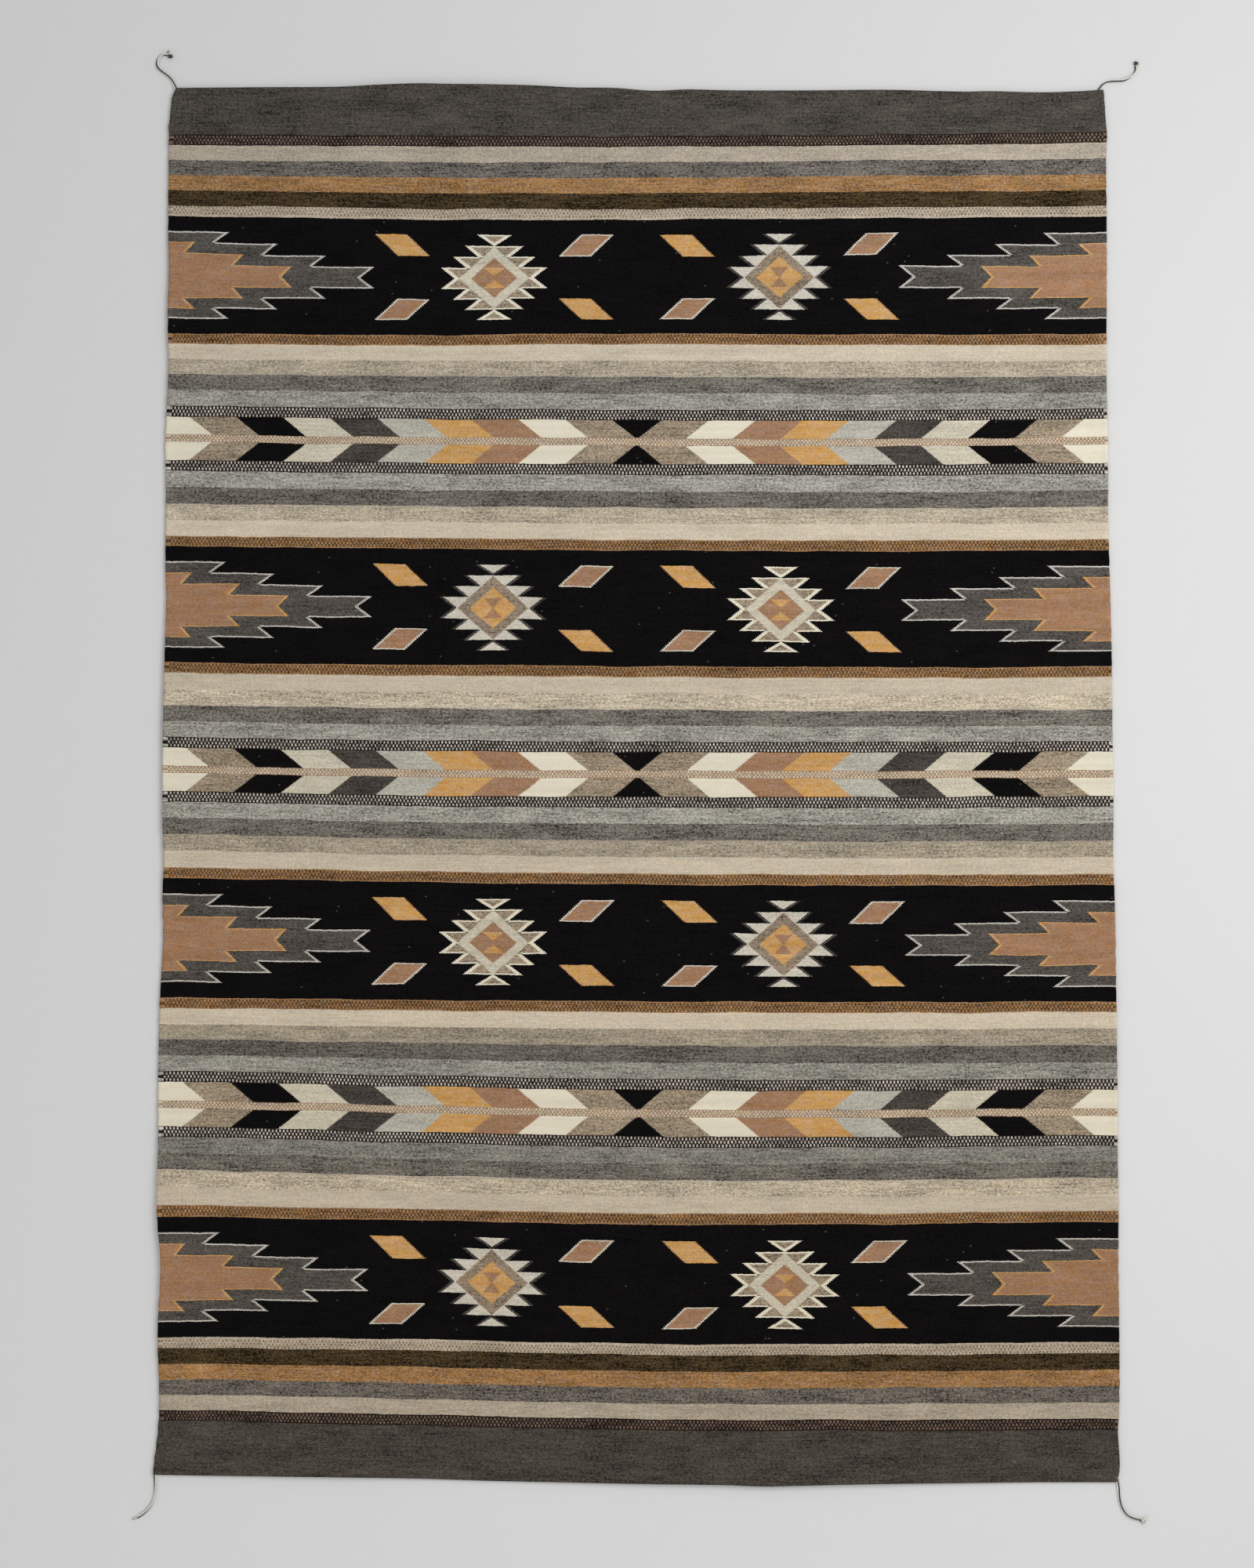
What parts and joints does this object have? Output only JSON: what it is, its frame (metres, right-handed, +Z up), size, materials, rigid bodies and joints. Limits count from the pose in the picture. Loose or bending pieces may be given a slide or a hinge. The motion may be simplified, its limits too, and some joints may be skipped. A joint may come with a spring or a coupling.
{
  "type": "wool blanket",
  "caption": "Flat woven wool blanket with banded geometric pattern and short twisted cords at its corners.",
  "frame": {"origin": "under the middle of the cloth, on the surface that it lies on", "axes": "+X across the blanket along its weft, +Y along its warp towards its top end in the picture, +Z up from the surface"},
  "size_m": [1.3177, 1.9314, 0.01],
  "materials": {
    "woven_wool": "dense weft-faced wool weave, matt, heathered yarns in bands of charcoal, black, grey, beige, ivory, ochre and mauve-brown",
    "cord_yarn": "two-ply wool cord, one dark grey and one off-white yarn, matt",
    "knot_dark": "dark grey wool yarn, matt",
    "knot_pale": "off-white wool yarn, matt"
  },
  "bodies": {
    "root": {"blanket": "woven_wool", "cord_top_left": "cord_yarn", "cord_top_right": "cord_yarn", "cord_bottom_left": "cord_yarn", "cord_bottom_right": "cord_yarn", "knot_top_left": "knot_dark", "knot_top_right": "knot_dark", "knot_bottom_right": "knot_pale"}
  },
  "joints": []
}
